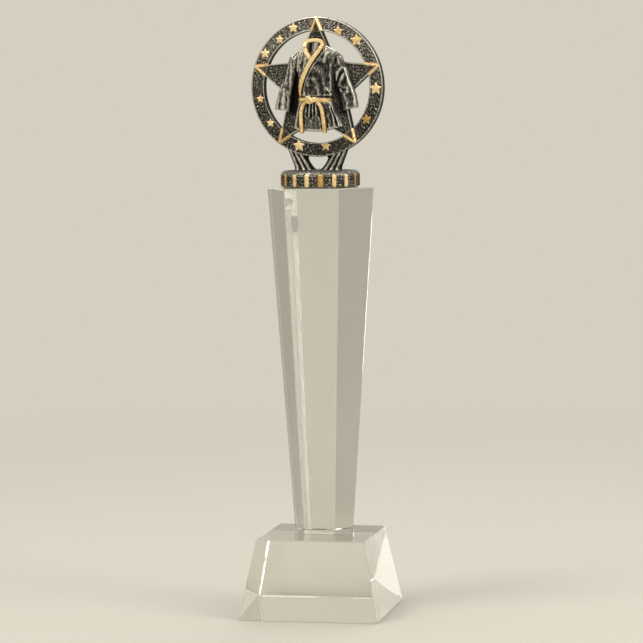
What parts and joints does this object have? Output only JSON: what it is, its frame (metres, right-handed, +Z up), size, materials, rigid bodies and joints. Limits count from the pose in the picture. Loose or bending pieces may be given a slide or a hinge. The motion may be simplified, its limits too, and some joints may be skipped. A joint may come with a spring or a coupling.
{
  "type": "column trophy",
  "caption": "Crystal column trophy: square base, tapered hexagonal column and cast topper of a star in a ring with a belted martial arts jacket.",
  "frame": {"origin": "middle of the base block's underside", "axes": "+Z up the column, front towards -Y, +X to the right as seen from the front"},
  "size_m": [0.073, 0.073, 0.31],
  "materials": {
    "crystal": "polished clear optical crystal",
    "adhesive": "clear cured adhesive",
    "antique_silver": "antique silver paint on cast resin, blackened in the hollows",
    "gold_paint": "pale gold paint on cast resin"
  },
  "bodies": {
    "root": {"base_block": "crystal", "column": "crystal", "column_bond": "adhesive", "topper_bond": "adhesive", "foot_disc": "antique_silver", "left_strut": "antique_silver", "right_strut": "antique_silver", "ring": "antique_silver", "star": "antique_silver", "under_panel": "antique_silver", "over_panel": "antique_silver", "skirt": "antique_silver", "left_sleeve": "antique_silver", "right_sleeve": "antique_silver", "neck_lining": "antique_silver", "foot_bars": "gold_paint", "tip_chevrons": "gold_paint", "ring_stars": "gold_paint", "collar": "gold_paint", "under_lapel": "gold_paint", "over_lapel": "gold_paint", "belt": "gold_paint", "belt_knot": "gold_paint", "left_belt_tail": "gold_paint", "right_belt_tail": "gold_paint"}
  },
  "joints": []
}
